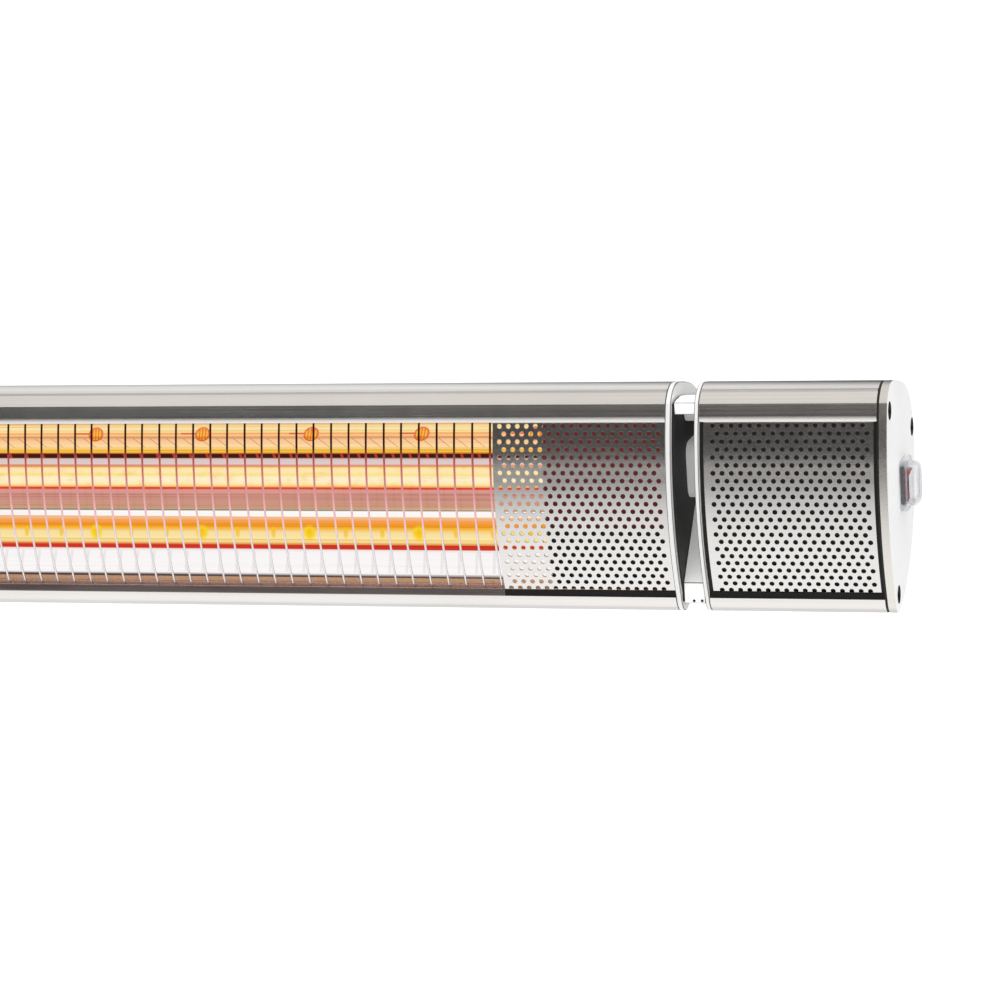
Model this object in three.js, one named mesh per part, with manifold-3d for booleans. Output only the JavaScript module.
// Linear infrared heat lamp warmer on a tilting wall bracket.
// Millimetres, +Z up. X runs along the heater (left is -X), -Y is the heated side, +Y the wall.
// The origin is the centre of the wall plate's back face.
//
// The lamp body and the control box share one section: a shallow front curve and a round back
// that is fullest above the middle. It is drawn in the head's own axes, y back along the aim and
// z up, with the origin about in its middle. The whole head is then turned about X.
import * as THREE from 'three';
import { mergeVertices } from 'three/addons/utils/BufferGeometryUtils.js';
import Module from 'manifold-3d';

const wasm = await Module();
wasm.setup();

// ---------------------------------------------------------------- driving dimensions
const TILT = 13.7;              // degrees the head aims below the horizontal
const FIT_GAP = 0.3;            // clearance between fitted pieces
const LENGTH = 900;             // over both end caps

// section
const BACK_RADII = [            // [degrees from +y towards +z, distance from the origin]
  [-89.8, 63.52], [-84, 62.8], [-70, 61.2], [-54, 60.5], [-40, 61.1], [-22, 62.5],
  [-8, 64], [0, 65.6], [12, 69], [23, 71.7], [32, 71.9], [41, 70],
  [49, 67.2], [61, 63.3], [73, 61.1], [83.94, 60.8],
];
const SKIN = 2.2;               // extrusion wall thickness
const FRONT_RADIUS = 148;
const FRONT_CENTRE_Y = 127;     // centre of all the front curves, at z = 0
// the corners join the round back to the front curve; each ends at a crease, where it faces
// `facing` degrees up (top) or down (bottom) from -y
const TOP_CORNER = { creaseZ: 53, radius: 19.7, facing: 38 };
const BOTTOM_CORNER = { creaseZ: 53.8, radius: 11.1, facing: 7.2 };    // mirrored below z = 0
const LIP_THICK = 2.4;
const LIP_EDGE_Z = 43.3;        // lower edge of the top lip
const LEDGE_Z = -50.7;          // ledge that the panels and the guard stand on
const PANEL_RADIUS = 145.2;     // outer face of the panels and the wire guard
const PANEL_THICK = 1;

// stations along X
const PLATE_GAP = 0.2;          // between the neck's end plates and their neighbours
const NECK_SEAL_GAP = 0.1;
const END_SEAL_GAP = 0.15;
const CAP_THICK = 4.2;
const END_SEAL_SPACE = 1.3;
const CAP_LEFT = -LENGTH / 2;
const CAP_RIGHT = LENGTH / 2;
const BODY_LEFT = CAP_LEFT + CAP_THICK + END_SEAL_SPACE;
const BODY_RIGHT = 331.4;
const BODY_PLATE_LEFT = BODY_RIGHT + PLATE_GAP;
const BODY_PLATE_RIGHT = BODY_PLATE_LEFT + 3;
const NECK_SEAL_LEFT = BODY_PLATE_RIGHT + NECK_SEAL_GAP;
const NECK_SEAL_RIGHT = NECK_SEAL_LEFT + 0.9;
const BOX_PLATE_LEFT = 347.3;
const BOX_PLATE_RIGHT = BOX_PLATE_LEFT + 2.4;
const NECK_LEFT = NECK_SEAL_RIGHT + NECK_SEAL_GAP;
const NECK_RIGHT = BOX_PLATE_LEFT - PLATE_GAP;
const BOX_LEFT = BOX_PLATE_RIGHT + PLATE_GAP;
const BOX_RIGHT = CAP_RIGHT - CAP_THICK - END_SEAL_SPACE;

// screw ports in the extrusions, [y, z]
const PORTS = { top: [-4.5, 47], back: [62.2, 22.9], bottom: [1, -54.1] };
const PORT_PLACES = Object.values(PORTS);
const PORT_RADIUS = 4;
const CAP_SCREW_RADIUS = 1.7;

// T-slot in the back
const SLOT = { mouthHalf: 4.6, headHalf: 8, bottomY: 57, lipY: 61.8 };
const SLOT_BOSS = { half: 10.5, y: 54.8, meetRadius: 64.5 };    // thick wall inside the slot

// pivot and bracket
const PIVOT = [-40, 0];         // [y, z] in the upright frame
const HEAD_PIVOT = [86.5, 0];   // the same axis in the head's axes
const EAR_X = 68;               // inner face of the wall plate's ears
const EAR_THICK = 3;
const YOKE_THICK = 3;
const YOKE_X = EAR_X - 0.4;     // outer face of the yoke's cheeks
const BOLT_RADIUS = 4;
const BOLT_HOLE_RADIUS = BOLT_RADIUS + FIT_GAP;

// ---------------------------------------------------------------- helpers
const { degToRad, radToDeg, smoothstep } = THREE.MathUtils;
const X_AXIS = new THREE.Vector3(1, 0, 0);
const Y_AXIS = new THREE.Vector3(0, 1, 0);
const Z_AXIS = new THREE.Vector3(0, 0, 1);
const toVector = ([x, y]) => new THREE.Vector2(x, y);

function toSolid(geometry) {
  geometry.deleteAttribute('normal');
  geometry.deleteAttribute('uv');
  const merged = mergeVertices(geometry, 1e-4);
  return new wasm.Manifold(new wasm.Mesh({
    numProp: 3,
    vertProperties: new Float32Array(merged.attributes.position.array),
    triVerts: new Uint32Array(merged.index.array),
  }));
}

function toGeometry(solid) {
  const mesh = solid.getMesh();
  const indexed = new THREE.BufferGeometry();
  indexed.setAttribute('position', new THREE.BufferAttribute(mesh.vertProperties, 3));
  indexed.setIndex([...mesh.triVerts]);
  const geometry = indexed.toNonIndexed();
  geometry.computeVertexNormals();
  return geometry;
}

const join = (...solids) => solids.reduce((whole, solid) => whole.add(solid));
const cut = (solid, ...tools) => tools.reduce((rest, tool) => rest.subtract(tool), solid);

// evenly spaced values, both ends included
const spaced = (from, to, steps) =>
  Array.from({ length: steps + 1 }, (_, i) => from + ((to - from) * i) / steps);

// outlines are lists of [y, z]; angles are in degrees from +y towards +z
const polar = (radius, angle) =>
  [radius * Math.cos(degToRad(angle)), radius * Math.sin(degToRad(angle))];
function arc(centreY, centreZ, radius, from, to, steps) {
  return spaced(from, to, steps).map((angle) => {
    const [y, z] = polar(radius, angle);
    return [centreY + y, centreZ + z];
  });
}
const circle = ([y, z], radius, sides) => arc(y, z, radius, 0, 360 - 360 / sides, sides - 1);
function rect([y, z], [width, height]) {
  const [y0, y1, z0, z1] = [y - width / 2, y + width / 2, z - height / 2, z + height / 2];
  return [[y0, z0], [y1, z0], [y1, z1], [y0, z1]];
}
function roundRect([y, z], [width, height], radius, steps = 3) {
  const reachY = width / 2 - radius;
  const reachZ = height / 2 - radius;
  return [[1, 1], [-1, 1], [-1, -1], [1, -1]].flatMap(([sideY, sideZ], i) =>
    arc(y + sideY * reachY, z + sideZ * reachZ, radius, i * 90, i * 90 + 90, steps));
}

// an outline extruded; axes are where its first, its second and the depth direction go
function extrude(points, depth, axes, origin, holes = []) {
  const shape = new THREE.Shape(points.map(toVector));
  shape.holes = holes.map((hole) => new THREE.Path(hole.map(toVector)));
  const geometry = new THREE.ExtrudeGeometry(shape, { depth, bevelEnabled: false });
  geometry.applyMatrix4(new THREE.Matrix4().makeBasis(...axes).setPosition(...origin));
  return toSolid(geometry);
}

// a [y, z] outline run along X between two stations, in either order
const prism = (points, x0, x1, holes) => extrude(
  points, Math.abs(x1 - x0), [Y_AXIS, Z_AXIS, X_AXIS], [Math.min(x0, x1), 0, 0], holes);

// a box between pairs of coordinates; each pair in either order
function block(...pairs) {
  const geometry = new THREE.BoxGeometry(...pairs.map(([from, to]) => Math.abs(to - from)));
  geometry.translate(...pairs.map(([from, to]) => (from + to) / 2));
  return toSolid(geometry);
}

function rod(start, end, radius, sides, endRadius = radius) {
  const from = new THREE.Vector3(...start);
  const reach = new THREE.Vector3(...end).sub(from);
  const length = reach.length();
  const geometry = new THREE.CylinderGeometry(endRadius, radius, length, sides, 1);
  geometry.translate(0, length / 2, 0);
  geometry.applyQuaternion(
    new THREE.Quaternion().setFromUnitVectors(Y_AXIS, reach.normalize()));
  geometry.translate(from.x, from.y, from.z);
  return toSolid(geometry);
}
const rodY = ([x, z], radius, sides, y0, y1) => rod([x, y0, z], [x, y1, z], radius, sides);
// rodX has its first corner towards +z, bar has it towards +y
const rodX = (place, radius, sides, x0, x1) => rod([x0, ...place], [x1, ...place], radius, sides);
const bar = (place, radius, sides, x0, x1) => prism(circle(place, radius, sides), x0, x1);
const drill = (solid, places, radius, sides, x0, x1) =>
  cut(solid, ...places.map((place) => bar(place, radius, sides, x0, x1)));

// a round cord along a smooth curve
function cord(points, radius, sides, steps) {
  const path = new THREE.CatmullRomCurve3(
    points.map((point) => new THREE.Vector3(...point)), false, 'centripetal');
  const shape = new THREE.Shape(circle([0, 0], radius, sides).map(toVector));
  return toSolid(new THREE.ExtrudeGeometry(shape,
    { steps, bevelEnabled: false, extrudePath: path }));
}

// an open line given thickness on its right, as a closed outline with mitred bends
function thicken(line, thickness) {
  const normals = line.slice(1).map(([y, z], i) =>
    new THREE.Vector2(z - line[i][1], line[i][0] - y).normalize());
  const offset = line.map(([y, z], i) => {
    const before = normals[Math.max(0, i - 1)];
    const after = normals[Math.min(i, normals.length - 1)];
    const mitre = before.clone().add(after).normalize();
    const reach = thickness / mitre.dot(before);
    return [y + mitre.x * reach, z + mitre.y * reach];
  });
  return [...line, ...offset.reverse()];
}

const FINISHES = {
  aluminium: { color: 0xc9c8c6, roughness: 0.32, metalness: 0.9 },
  stainless: { color: 0xb8b6b4, roughness: 0.18, metalness: 1 },
  mirror: { color: 0xf1efec, roughness: 0.05, metalness: 1 },
  white: { color: 0xf2f1ee, roughness: 0.45, metalness: 0 },
  black: { color: 0x1b1b1c, roughness: 0.6, metalness: 0 },
  rubber: { color: 0x151515, roughness: 0.8, metalness: 0 },
  red: { color: 0xc8281e, roughness: 0.35, metalness: 0 },
  clear: { color: 0xeef1f2, roughness: 0.1, metalness: 0 },
  quartz: { color: 0xffc35a, roughness: 0.08, metalness: 0 },
  glow: { color: 0xffe9b0, roughness: 0.6, metalness: 0 },
  ceramic: { color: 0xe9e4da, roughness: 0.7, metalness: 0 },
  steel: { color: 0x8d9094, roughness: 0.35, metalness: 0.9 },
  zinc: { color: 0xa7abb0, roughness: 0.4, metalness: 0.9 },
  board: { color: 0x1f5b3a, roughness: 0.5, metalness: 0 },
  blue: { color: 0x27508f, roughness: 0.5, metalness: 0 },
};

const warmer = new THREE.Group();
warmer.name = 'heat_lamp_warmer';
const head = new THREE.Group();     // everything that tilts, hung so that the pivots coincide
head.rotation.x = degToRad(TILT);
{
  const [y, z] = polar(HEAD_PIVOT[0], TILT);
  head.position.set(0, PIVOT[0] - y, -z);
}
warmer.add(head);

function add(group, name, solid, finish) {
  const material = new THREE.MeshStandardMaterial(FINISHES[finish]);
  const mesh = new THREE.Mesh(toGeometry(solid), material);
  mesh.name = name;
  group.add(mesh);
}

// ---------------------------------------------------------------- section outlines
const frontY = (radius, z) => FRONT_CENTRE_Y - Math.sqrt(radius * radius - z * z);
const frontArc = (radius, z0, z1, steps) =>
  spaced(z0, z1, steps).map((z) => [frontY(radius, z), z]);

// distance from the origin to the round back, smoothed between the stations
const backPoints = new THREE.CatmullRomCurve3(
  BACK_RADII.map(([angle, radius]) => new THREE.Vector3(angle, radius, 0)), false, 'centripetal',
).getPoints(400);
function backRadius(angle) {
  // beyond either end of the table, the nearest pair of points is extended
  const found = backPoints.findIndex((point) => point.x >= angle);
  const i = found < 0 ? backPoints.length - 1 : Math.max(found, 1);
  const before = backPoints[i - 1];
  const after = backPoints[i];
  return before.y + ((after.y - before.y) * (angle - before.x)) / (after.x - before.x);
}
const backArc = (inset, from, to, steps) =>
  spaced(from, to, steps).map((angle) => polar(backRadius(angle) - inset, angle));

// a corner's centre, and the angle at which it meets the round back
function placeCorner({ creaseZ, radius, facing }) {
  const [reachY, reachZ] = polar(radius, facing);
  const y = frontY(FRONT_RADIUS, creaseZ) + reachY;
  const z = creaseZ - reachZ;
  return { y, z, angle: radToDeg(Math.atan2(z, y)) };
}
const topPlace = placeCorner(TOP_CORNER);
const bottomPlace = placeCorner(BOTTOM_CORNER);
const BACK_START = -bottomPlace.angle;
const BACK_END = topPlace.angle;
const topCorner = (inset, steps = 5) => arc(topPlace.y, topPlace.z,
  TOP_CORNER.radius - inset, BACK_END, 180 - TOP_CORNER.facing, steps);
const bottomCorner = (inset, steps = 4) => arc(bottomPlace.y, -bottomPlace.z,
  BOTTOM_CORNER.radius - inset, BOTTOM_CORNER.facing - 180, BACK_START, steps);

// the whole outline, counter-clockwise, starting at the bottom crease
function outline(inset = 0) {
  return [
    ...bottomCorner(inset),
    ...backArc(inset, BACK_START, BACK_END, 24).slice(1, -1),
    ...topCorner(inset),
    ...frontArc(FRONT_RADIUS - inset,
      TOP_CORNER.creaseZ - 0.6 - inset, -BOTTOM_CORNER.creaseZ + 0.6 + inset, 8),
  ];
}

// the C-shaped wall with its top lip and the T-slot in the back
function wallProfile() {
  const { mouthHalf, headHalf, bottomY, lipY } = SLOT;
  const mouthAngle = radToDeg(Math.asin(mouthHalf / 65.6));     // 65.6 is the back radius at 0
  const bossAngle = radToDeg(Math.asin(SLOT_BOSS.half / SLOT_BOSS.meetRadius));
  const lipInner = FRONT_RADIUS - LIP_THICK;
  const bottomZ = BOTTOM_CORNER.creaseZ;
  const bottomY0 = frontY(FRONT_RADIUS, bottomZ);
  return [
    // outside, from the bottom crease round the back to the top lip
    ...bottomCorner(0),
    ...backArc(0, BACK_START, -mouthAngle, 13).slice(1),
    [lipY, -mouthHalf], [lipY, -headHalf], [bottomY, -headHalf],
    [bottomY, headHalf], [lipY, headHalf], [lipY, mouthHalf],
    ...backArc(0, mouthAngle, BACK_END, 14).slice(0, -1),
    ...topCorner(0),
    ...frontArc(FRONT_RADIUS, TOP_CORNER.creaseZ - 0.5, LIP_EDGE_Z + 2.1, 2),
    // bevelled edge of the top lip
    [frontY(FRONT_RADIUS - 1.2, LIP_EDGE_Z), LIP_EDGE_Z],
    [frontY(lipInner, LIP_EDGE_Z), LIP_EDGE_Z],
    // inside, from the lip back round to the bottom edge
    ...frontArc(lipInner, LIP_EDGE_Z + 2, TOP_CORNER.creaseZ - 3.2, 1),
    ...topCorner(SKIN, 4).reverse(),
    ...backArc(SKIN, BACK_END, bossAngle, 13).slice(1),
    [SLOT_BOSS.y, SLOT_BOSS.half], [SLOT_BOSS.y, -SLOT_BOSS.half],
    ...backArc(SKIN, -bossAngle, BACK_START, 12).slice(0, -1),
    ...bottomCorner(SKIN, 3).reverse().slice(0, -1),
    [bottomY0 + 1.8, -bottomZ - 0.6], [bottomY0 + 1.6, -bottomZ],
  ];
}

// the wall with three screw ports, two webs that hold ports, and the ledge on the lower port
function extrusion(x0, x1) {
  const web = ([y], z0, z1) => prism(rect([y, (z0 + z1) / 2], [2.4, z1 - z0]), x0, x1);
  const ledgeY = frontY(PANEL_RADIUS, LEDGE_Z);
  const ledge = [[ledgeY - 0.4, LEDGE_Z], [ledgeY + 1.4, -58], [3, -57], [3, LEDGE_Z]];
  const solid = join(
    prism(wallProfile(), x0, x1),
    bar(PORTS.top, PORT_RADIUS, 12, x0, x1),
    web(PORTS.top, PORTS.top[1] + 3, 58.9),
    bar(PORTS.back, PORT_RADIUS, 12, x0, x1),
    bar(PORTS.bottom, PORT_RADIUS - 0.3, 12, x0, x1),
    prism(ledge, x0, x1),
    web(PORTS.bottom, -62, PORTS.bottom[1] - 3));
  return drill(solid, PORT_PLACES, PORT_RADIUS / 2, 10, x0 - 1, x1 + 1);
}

// ---------------------------------------------------------------- lamp body
add(head, 'body_extrusion', extrusion(BODY_LEFT, BODY_RIGHT), 'aluminium');

// mirror reflector: the lit face of a folded sheet, bottom to top, [y, z]
const REFLECTOR = [[1.4, -47.3], [36.7, -19.5], [33, 13.5], [8.4, 45], [4.5, 48.6]];
const REFLECTOR_THICK = 0.8;
const REFLECTOR_LEFT = -377;
const REFLECTOR_RIGHT = 264;
add(head, 'reflector',
  prism(thicken(REFLECTOR, REFLECTOR_THICK), REFLECTOR_LEFT, REFLECTOR_RIGHT), 'mirror');

const LAMP = [24, 4];           // lamp axis
const [LAMP_Y, LAMP_Z] = LAMP;
const TUBE_RADIUS = 6.2;
const TUBE_LEFT = REFLECTOR_LEFT - 5;
const TUBE_RIGHT = REFLECTOR_RIGHT + 5;

// sheet ends of the reflector, which carry the lamp holders on a folded shelf;
// for paired pieces x is the inner end and dir points outwards along X
const REFLECTOR_END = [
  [-6.2, 41.5], [-6.2, -45.8], [1.6, -46], [36.2, -19.2], [32.6, 13.2], [8.2, 44.4],
];
function reflectorEnd(x, dir) {
  const sheet = 1.2;
  const shelfTop = LAMP_Z - 12.2;
  return drill(join(
    prism(REFLECTOR_END, x, x + dir * sheet),
    block([x + dir * sheet / 2, x + dir * 42], [LAMP_Y - 12, LAMP_Y + 7.5],
      [shelfTop - sheet, shelfTop])),
  [LAMP], TUBE_RADIUS + 0.8, 16, x - dir, x + dir * (sheet + 1));
}
add(head, 'reflector_end_right', reflectorEnd(REFLECTOR_RIGHT + FIT_GAP, 1), 'mirror');
add(head, 'reflector_end_left', reflectorEnd(REFLECTOR_LEFT - FIT_GAP, -1), 'mirror');

// lamp: quartz tube, filament, ceramic bases
add(head, 'quartz_tube', prism(circle(LAMP, TUBE_RADIUS, 20), TUBE_LEFT, TUBE_RIGHT,
  [circle(LAMP, TUBE_RADIUS - 1, 20)]), 'quartz');
add(head, 'lamp_filament',
  bar(LAMP, 1.8, 8, REFLECTOR_LEFT - 1, REFLECTOR_RIGHT + 1), 'glow');

function lampBase(x, dir) {
  return join(
    rodX(LAMP, 6.4, 16, x, x + dir * 5),
    block([x + dir * 4.9, x + dir * 17],
      [LAMP_Y - 3.4, LAMP_Y + 3.4], [LAMP_Z - 6, LAMP_Z + 6]));
}
add(head, 'lamp_base_right', lampBase(TUBE_RIGHT + 0.2, 1), 'ceramic');
add(head, 'lamp_base_left', lampBase(TUBE_LEFT - 0.2, -1), 'ceramic');

// a block with an open-topped pocket for the lamp base and a hole for the lead
function lampHolder(x, dir) {
  return cut(
    block([x, x + dir * 22], [LAMP_Y - 10, LAMP_Y + 6.8], [LAMP_Z - 11.6, LAMP_Z + 9]),
    block([x - dir, x + dir * 13], [LAMP_Y - 4, LAMP_Y + 4], [LAMP_Z - 6.6, LAMP_Z + 10]),
    rodX(LAMP, 1.9, 10, x + dir * 12, x + dir * 23));
}
add(head, 'lamp_holder_right', lampHolder(TUBE_RIGHT + 6, 1), 'ceramic');
add(head, 'lamp_holder_left', lampHolder(TUBE_LEFT - 6, -1), 'ceramic');

// insulated leads from the lamp holders through the neck into the control box
const LEAD_RADIUS = 1.5;
const LEAD_SIDES = 6;
const lead = (points, steps) => cord(points, LEAD_RADIUS, LEAD_SIDES, steps);
function rightLead() {
  const x = TUBE_RIGHT + 20;
  return lead([[x, ...LAMP], [x + 5, ...LAMP], [x + 11, ...LAMP],
    [x + 30, LAMP_Y, LAMP_Z + 1], [336, 23, 5], [348, 23, 5], [361, 23, 6]], 14);
}
// the left lead doubles back and runs straight behind the reflector
function leftLead() {
  const x = TUBE_LEFT - 20;
  const run = [42, 33];
  return join(
    lead([[x, ...LAMP], [x - 6, ...LAMP], [x - 12, ...LAMP],
      [x - 19, LAMP_Y + 5, LAMP_Z + 6], [x - 18, 37, 27], [x - 6, ...run], [x + 6, ...run]], 16),
    rodX(run, LEAD_RADIUS, LEAD_SIDES, x + 5.5, 296.5),
    lead([[290, ...run], [296, ...run], [318, 33, 22],
      [336, 27, 14], [348, 27, 14], [361, 27, 15]], 14));
}
add(head, 'lamp_lead_right', rightLead(), 'red');
add(head, 'lamp_lead_left', leftLead(), 'blue');

// ---------------------------------------------------------------- guard and front panels
const GUARD_LEFT = -349;
const GUARD_RIGHT = 236;
const WIRE = 1.2;               // wire thickness
const WIRE_PITCH = 10;

// a strip that follows the front curve
const frontStrip = (outer, inner, z0, z1, steps, x0, x1) =>
  prism([...frontArc(outer, z0, z1, steps), ...frontArc(inner, z1, z0, steps)], x0, x1);

// wire guard: hoops along the front curve, on two rails behind them
function wireGuard() {
  const inner = PANEL_RADIUS - WIRE;
  const rail = (z0, z1, depth) => frontStrip(inner + 0.3, inner - depth, z0, z1, 1,
    GUARD_LEFT + 1, GUARD_RIGHT - 0.6);
  const hoops = [];
  for (let x = GUARD_RIGHT - 1.6; x > GUARD_LEFT + 1; x -= WIRE_PITCH) {
    hoops.push(frontStrip(PANEL_RADIUS, inner, LEDGE_Z + FIT_GAP, 46.8, 4,
      x - WIRE / 2, x + WIRE / 2));
  }
  return join(rail(45, 46.6, 0.6), rail(LEDGE_Z + 0.4, LEDGE_Z + 2, 0.9), ...hoops);
}
add(head, 'wire_guard', wireGuard(), 'steel');

// curved end panels, modelled as plain sheet
const PANEL_END_GAP = 0.4;
for (const [name, x0, x1] of [
  ['right', GUARD_RIGHT, BODY_RIGHT - PANEL_END_GAP],
  ['left', BODY_LEFT + PANEL_END_GAP, GUARD_LEFT],
  ['box', BOX_LEFT + 1.9, BOX_RIGHT - PANEL_END_GAP],
]) {
  add(head, 'perforated_panel_' + name, frontStrip(PANEL_RADIUS, PANEL_RADIUS - PANEL_THICK,
    LEDGE_Z + FIT_GAP, 47.6, 12, x0, x1), 'stainless');
}

// ---------------------------------------------------------------- neck between body and box
const CONDUIT_CENTRE = [26, 9.9];
const CONDUIT_SIZE = [28, 31];
const CONDUIT_WALL = 2.5;
const conduitHole = roundRect(CONDUIT_CENTRE,
  CONDUIT_SIZE.map((size) => size - 2 * CONDUIT_WALL), 4.6);
const NECK_BOLTS = { upper: [17.5, 42.6], lower: [28, -38] };
const NECK_BOLT_PLACES = Object.values(NECK_BOLTS);
const NECK_HOLE_RADIUS = 3.5;
const NECK_DROP = 3.4;          // extra inset of the neck's back above its heel

const neckPlate = (x0, x1) =>
  drill(prism(outline(), x0, x1, [conduitHole]), NECK_BOLT_PLACES, 3.4, 12, x0 - 1, x1 + 1);
add(head, 'body_end_plate', neckPlate(BODY_PLATE_LEFT, BODY_PLATE_RIGHT), 'aluminium');
add(head, 'box_end_plate', neckPlate(BOX_PLATE_LEFT, BOX_PLATE_RIGHT), 'aluminium');

// the round back, drawn in by the drop, which grows from -10 to 40 degrees
const neckArc = (inset, from, to, steps) => spaced(from, to, steps).map((angle) =>
  polar(backRadius(angle) - inset - NECK_DROP * smoothstep(angle, -10, 40), angle));

// open-fronted bridge: top lip, round back, sloping floor over a hollow heel
function neckBridge() {
  const profile = [
    [-9, -57.4], [-4, -58.4],
    ...neckArc(4, BACK_START, BACK_END, 22),
    [-4, 53.2], [-9, 52.8], [-9, 46.4], [-6.4, 46.4], [-6.4, 50.2],
    ...neckArc(7, BACK_END, -6, 12),
    [31, -7.6], [-9, -46],
  ];
  const heel = [[-5.4, -47.2], [-4.6, -55], ...neckArc(7, BACK_START + 1, -14, 8), [32, -11.4]];
  return drill(join(
    prism(profile, NECK_LEFT, NECK_RIGHT, [heel]),
    bar(NECK_BOLTS.upper, 5.6, 12, NECK_LEFT, NECK_RIGHT)),
  [NECK_BOLTS.upper], NECK_HOLE_RADIUS, 12, NECK_LEFT - 1, NECK_RIGHT + 1);
}
add(head, 'neck_bridge', neckBridge(), 'white');
add(head, 'neck_conduit', prism(roundRect(CONDUIT_CENTRE, CONDUIT_SIZE, 7),
  NECK_LEFT, NECK_RIGHT, [conduitHole]), 'white');

function neckSeal() {
  const profile = [
    [-9, -56.2], ...neckArc(4.4, BACK_START, BACK_END, 20), [-9, 52],
    ...frontArc(FRONT_RADIUS - 3, 50, -52, 8),
  ];
  return drill(prism(profile, NECK_SEAL_LEFT, NECK_SEAL_RIGHT, [conduitHole]),
    NECK_BOLT_PLACES, NECK_HOLE_RADIUS, 12, NECK_SEAL_LEFT - 1, NECK_SEAL_RIGHT + 1);
}
add(head, 'neck_seal', neckSeal(), 'rubber');

for (const [name, place] of Object.entries(NECK_BOLTS)) {
  add(head, 'neck_bolt_' + name, join(
    rodX(place, 5, 6, BODY_RIGHT - 4, BODY_RIGHT - 0.1),
    rodX(place, 3, 12, BODY_RIGHT - 0.2, BOX_LEFT + 7)), 'zinc');
  add(head, 'neck_nut_' + name, cut(
    rodX(place, 5.6, 6, BOX_LEFT + 0.1, BOX_LEFT + 5),
    rodX(place, 3.3, 12, BOX_LEFT - 1, BOX_LEFT + 6)), 'zinc');
}

// ---------------------------------------------------------------- control box and its cable
const GLAND_ANGLE = -17;        // direction of the cable gland in the section
const GLAND_X = 400;
const CABLE_HOLE_RADIUS = 4.7;
// places along the gland's axis are distances from the section's origin
const glandPoint = (distance, x = GLAND_X) => [x, ...polar(distance, GLAND_ANGLE)];
const glandRod = (from, to, radius, sides, endRadius) =>
  rod(glandPoint(from), glandPoint(to), radius, sides, endRadius);

add(head, 'box_extrusion',
  cut(extrusion(BOX_LEFT, BOX_RIGHT), glandRod(50, 72, 7.6, 16)), 'aluminium');
add(head, 'cable_gland', cut(
  join(glandRod(57.7, 64.1, 7.2, 16), glandRod(64, 67.7, 11, 6), glandRod(67.6, 74.7, 6.6, 16)),
  glandRod(50, 78, CABLE_HOLE_RADIUS, 12)), 'black');
add(head, 'gland_nut', cut(
  join(glandRod(68.1, 75.7, 9.6, 12), glandRod(75.6, 80.7, 9.4, 16, 6.4)),
  glandRod(66, 75.1, 7, 16), glandRod(73, 83, CABLE_HOLE_RADIUS, 12)), 'black');

const CABLE_PATH = [            // [distance from the section's origin, x]
  [50, 400], [61, 400], [72, 400], [82.5, 399.6], [90, 396], [94.4, 387],
  [95, 374], [95, 350], [95, 320], [95, 290], [95, 258],
];
add(head, 'power_cable',
  cord(CABLE_PATH.map(([distance, x]) => glandPoint(distance, x)), 4.2, 10, 30), 'rubber');

// ---------------------------------------------------------------- electronics
// an upright board behind the panel, with its components on the front
const BOARD = { x: [354, 421], y: [37, 38.6], z: [-28, 34] };
const BOARD_HOLE_INSET = 4;
const holeXs = [BOARD.x[0] + BOARD_HOLE_INSET, BOARD.x[1] - BOARD_HOLE_INSET];
const holeZs = [BOARD.z[0] + BOARD_HOLE_INSET, BOARD.z[1] - BOARD_HOLE_INSET];
const COMPONENT_BACK = BOARD.y[0] - FIT_GAP;

add(head, 'control_board', cut(block(BOARD.x, BOARD.y, BOARD.z),
  ...holeZs.flatMap((z) => holeXs.map((x) => rodY([x, z], 1.7, 8, 30, 45)))), 'board');

// windowed sheet behind the board, with two standoffs at the lower holes
add(head, 'board_carrier', cut(
  join(block([BOARD.x[0] - 2, BOARD.x[1] + 2], [41.6, 42.8], [-30, 31]),
    ...holeXs.map((x) => rodY([x, holeZs[0]], 3, 8, BOARD.y[1] + FIT_GAP, 42))),
  block([370, 405], [40, 44], [-12, 14])), 'zinc');
add(head, 'power_relay', block([358, 377], [21, COMPONENT_BACK], [-27, 0]), 'black');

const TERMINALS = { x: [380, 418], z: [-27, -14], firstX: 387, pitch: 8, count: 4 };
function terminalBlock() {
  const { x, z, firstX, pitch, count } = TERMINALS;
  const holes = spaced(firstX, firstX + pitch * (count - 1), count - 1);
  return cut(block(x, [25, COMPONENT_BACK], z),
    ...holes.map((holeX) => rodY([holeX, (z[0] + z[1]) / 2], 2.2, 8, 22, 33)));
}
add(head, 'terminal_block', terminalBlock(), 'white');

function heatSink() {
  const height = [8, 30];
  const fins = spaced(388, 412, 4).map((x) => block([x, x + 2], [22, 34], height));
  return join(block([386, 416], [33.6, COMPONENT_BACK], height), ...fins);
}
add(head, 'heat_sink', heatSink(), 'aluminium');

// ---------------------------------------------------------------- end caps
// switch in the right cap: centre [y, z], and [width along y, height along z]
const SWITCH = [25.7, 0.6];
const BEZEL = [15.2, 21.2];
const CUTOUT = [13.2, 19.2];
const ROCKER = [10.2, 16.6];

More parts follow.
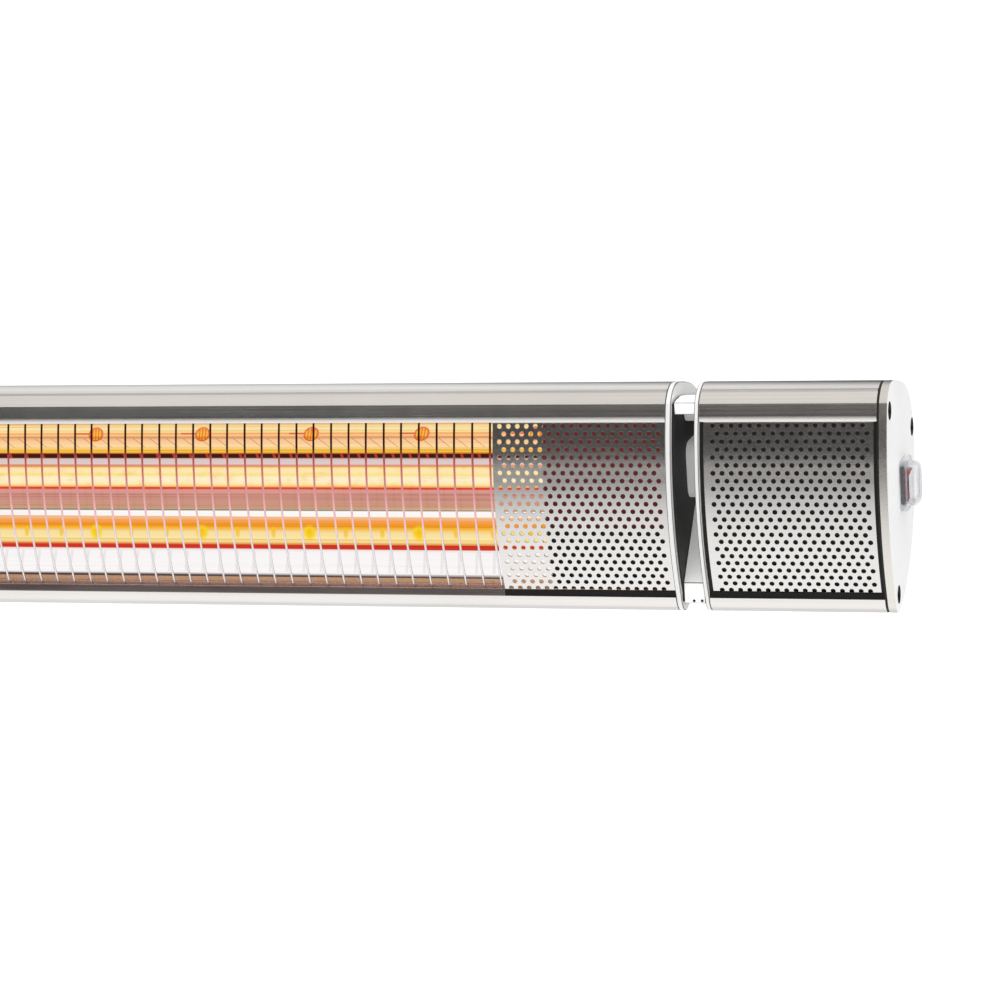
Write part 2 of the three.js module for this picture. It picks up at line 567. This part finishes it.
// a plate with its outer edge chamfered and counterbored screw holes; face is its outer face
function endCap(face, dir) {
  const chamfer = 0.9;
  const inner = face - dir * CAP_THICK;
  const shoulder = face - dir * chamfer;
  const plate = join(
    prism(outline(), inner, shoulder),
    prism(outline(chamfer * 0.9), shoulder - dir * 0.01, face + dir * 0.01));
  return cut(
    drill(plate, PORT_PLACES, CAP_SCREW_RADIUS + 0.4, 10, inner - dir, face + dir),
    ...PORT_PLACES.map((port) => rodX(port, 5, 18, face - dir * 2.2, face + dir)));
}
const switchCutout = prism(rect(SWITCH, CUTOUT.map((size) => size + 2 * FIT_GAP)),
  CAP_RIGHT - CAP_THICK - 1, CAP_RIGHT + 1);
add(head, 'end_cap_right', cut(endCap(CAP_RIGHT, 1), switchCutout), 'white');
add(head, 'end_cap_left', endCap(CAP_LEFT, -1), 'white');

// seals follow the extrusion wall and the ports
function endSeal(x0, x1) {
  const opening = [
    ...frontArc(FRONT_RADIUS - 7, -43, 40, 6),
    [-8, 43], [0, 41.4], [3, 44], [3, 54],              // round the top port
    ...backArc(5, 84, 32, 5),
    [56.4, 27.5], [56, 17], [58.4, 11],                 // round the back port
    ...backArc(5, 8, -82, 8),
    [6.6, -55.8], [6.6, -49.6], [-1.6, -47.4],          // round the bottom port
  ];
  return drill(prism(outline(), x0, x1, [opening]),
    PORT_PLACES, CAP_SCREW_RADIUS + 0.4, 10, x0 - 1, x1 + 1);
}
add(head, 'end_seal_right',
  endSeal(BOX_RIGHT + END_SEAL_GAP, CAP_RIGHT - CAP_THICK - END_SEAL_GAP), 'rubber');
add(head, 'end_seal_left',
  endSeal(CAP_LEFT + CAP_THICK + END_SEAL_GAP, BODY_LEFT - END_SEAL_GAP), 'rubber');

// recessed cap screws with a hexagon socket
function capScrew(port, face, dir) {
  const piece = (radius, sides, from, to) =>
    rodX(port, radius, sides, face - dir * from, face - dir * to);
  return cut(join(piece(CAP_SCREW_RADIUS, 10, 18, 1.9), piece(3.6, 14, 2, 0.4)),
    piece(1.6, 6, 1.4, -1));
}
for (const [name, port] of Object.entries(PORTS)) {
  add(head, 'cap_screw_right_' + name, capScrew(port, CAP_RIGHT, 1), 'zinc');
  add(head, 'cap_screw_left_' + name, capScrew(port, CAP_LEFT, -1), 'zinc');
}

// ---------------------------------------------------------------- power switch
function switchBody() {
  const [width, height] = ROCKER;
  return cut(
    join(prism(roundRect(SWITCH, BEZEL, 1.6, 2), CAP_RIGHT + 0.2, CAP_RIGHT + 2.2),
      prism(rect(SWITCH, CUTOUT), CAP_RIGHT - 19, CAP_RIGHT + 0.3)),
    prism(rect(SWITCH, [width + 1.2, height + 1.6]), CAP_RIGHT - 12, CAP_RIGHT + 3));
}
add(head, 'switch_body', switchBody(), 'black');

// two-position rocker: a dished face with raised ends over a round belly
function switchRocker() {
  const [width, height] = ROCKER;
  const half = height / 2;
  const profile = [             // [z, x out of the cap]
    [half, 0.4], [half - 0.4, 4.2], [half / 2, 3], [0, 2.4],
    [-half / 2, 3], [-half + 0.4, 4.2], [-half, 0.4],
    ...arc(0, 0, 9, 220, 320, 6),
  ];
  return extrude(profile, width, [Z_AXIS, X_AXIS, Y_AXIS], [0, -width / 2, 0]);
}
const rockerMount = new THREE.Group();
rockerMount.position.set(CAP_RIGHT - 0.4, ...SWITCH);
rockerMount.rotation.y = degToRad(8);       // pressed at its lower end
head.add(rockerMount);
add(rockerMount, 'switch_rocker', switchRocker(), 'red');

// clear stepped boot over the rocker and bezel
// rows: size [y, z], corner radius, start and end outwards from the cap's face
const BOOT_OUTSIDE = [
  [[22, 27.6], 4, 0.2, 3.8], [[18, 22.4], 4.4, 3.7, 8.1], [[15.4, 19.8], 5, 8, 9.3],
];
const BOOT_INSIDE = [
  [[16, 22.2], 2.2, -1, 2.7], [[16, 20.4], 2.2, 2.6, 7.1], [[13.6, 18], 4, 7, 8.3],
];
const bootSteps = (rows) => rows.map(([size, radius, from, to]) =>
  prism(roundRect(SWITCH, size, radius), CAP_RIGHT + from, CAP_RIGHT + to));
add(head, 'switch_boot',
  cut(join(...bootSteps(BOOT_OUTSIDE)), ...bootSteps(BOOT_INSIDE)), 'clear');

// ---------------------------------------------------------------- tilting yoke on the T-slot
const YOKE_Y = 67.9;            // front face of the yoke's web
const CLAMP_X = 42;             // clamp screws either side of the middle
const CLAMP_HOLE_RADIUS = 3.3;
const SLOT_FIT = 0.4;

function tiltYoke() {
  const [bottom, top] = [-16, 8];
  const cheek = [[YOKE_Y, bottom], ...arc(...HEAD_PIVOT, 14, -80, 80, 10), [YOKE_Y, top]];
  const yoke = drill(join(
    block([-YOKE_X, YOKE_X], [YOKE_Y, YOKE_Y + YOKE_THICK], [bottom, top]),
    prism(cheek, -YOKE_X, -YOKE_X + YOKE_THICK),
    prism(cheek, YOKE_X - YOKE_THICK, YOKE_X)),
  [HEAD_PIVOT], BOLT_HOLE_RADIUS, 16, -100, 100);
  return cut(yoke,
    ...[-CLAMP_X, CLAMP_X].map((x) => rodY([x, 0], CLAMP_HOLE_RADIUS, 12, 63, 75)));
}
add(head, 'tilt_yoke', tiltYoke(), 'steel');

function slotNut(x) {
  const length = [x - 13, x + 13];
  const headHalf = SLOT.headHalf - SLOT_FIT;
  const neckHalf = SLOT.mouthHalf - SLOT_FIT;
  return cut(join(
    block(length, [SLOT.bottomY + SLOT_FIT, SLOT.lipY - SLOT_FIT], [-headHalf, headHalf]),
    block(length, [SLOT.lipY - 0.5, 67.4], [-neckHalf, neckHalf])),
  rodY([x, 0], CLAMP_HOLE_RADIUS, 12, 50, 75));
}
const clampScrew = (x) => cut(
  join(rodY([x, 0], 3, 12, 58, 71.3), rodY([x, 0], 5, 14, 71.2, 75.6)),
  rodY([x, 0], 2.6, 6, 73, 77));
for (const [x, side] of [[-CLAMP_X, 'left'], [CLAMP_X, 'right']]) {
  add(head, 'slot_nut_' + side, slotNut(x), 'zinc');
  add(head, 'clamp_screw_' + side, clampScrew(x), 'zinc');
}

// ---------------------------------------------------------------- wall bracket, upright
const WALL_PLATE = { width: 170, height: 68, thick: 3, corner: 6 };
function wallBracket() {
  const { width, height, thick, corner } = WALL_PLATE;
  const plate = extrude(roundRect([0, 0], [width, height], corner), thick,
    [X_AXIS, Z_AXIS, Y_AXIS.clone().negate()], [0, 0, 0]);
  const rootY = -thick + 0.4;   // the ears start a little inside the plate
  const ear = [[rootY, 28], ...arc(...PIVOT, 16, 120, 240, 10), [rootY, -28]];
  const ears = [-1, 1].map((dir) => prism(ear, dir * EAR_X, dir * (EAR_X + EAR_THICK)));
  const wallHoles = [-50, 50].flatMap((x) =>
    [-22, 22].map((z) => rodY([x, z], 3.3, 14, 5, -10)));
  return cut(
    drill(join(plate, ...ears), [PIVOT], BOLT_HOLE_RADIUS, 16, -100, 100), ...wallHoles);
}
add(warmer, 'wall_bracket', wallBracket(), 'steel');

// pivot hardware; stations are distances outwards from the middle
const BOLT_HEAD_OUT = YOKE_X - YOKE_THICK - FIT_GAP;    // the head sits inside the yoke
const WASHER_IN = EAR_X + EAR_THICK + FIT_GAP;
const WASHER_OUT = WASHER_IN + 1.6;
const KNOB_RADIUS = 13;
const LOBES = 5;

// lobed clamp knob with a blind bore
function clampKnob(dir) {
  const lobes = Array.from({ length: LOBES }, (_, i) => {
    const [place] = arc(...PIVOT, KNOB_RADIUS, 90 + (i * 360) / LOBES, 0, 1);
    return rodX(place, 5, 10, dir * 78.6, dir * 92.4);
  });
  return cut(join(
    rodX(PIVOT, 9, 16, dir * (WASHER_OUT + FIT_GAP), dir * 78),
    rodX(PIVOT, KNOB_RADIUS, 15, dir * 77.9, dir * 93),
    ...lobes),
  rodX(PIVOT, BOLT_HOLE_RADIUS, 16, dir * 70, dir * 91.6));
}
for (const [dir, side] of [[-1, 'left'], [1, 'right']]) {
  add(warmer, 'pivot_bolt_' + side, join(
    rodX(PIVOT, 7.2, 6, dir * (BOLT_HEAD_OUT - 5.1), dir * BOLT_HEAD_OUT),
    rodX(PIVOT, BOLT_RADIUS, 16, dir * (BOLT_HEAD_OUT - 0.1), dir * 91)), 'zinc');
  add(warmer, 'pivot_washer_' + side, cut(
    rodX(PIVOT, 8.5, 18, dir * WASHER_IN, dir * WASHER_OUT),
    rodX(PIVOT, BOLT_HOLE_RADIUS, 16, dir * 70, dir * 75)), 'zinc');
  add(warmer, 'clamp_knob_' + side, clampKnob(dir), 'black');
}

export default warmer;
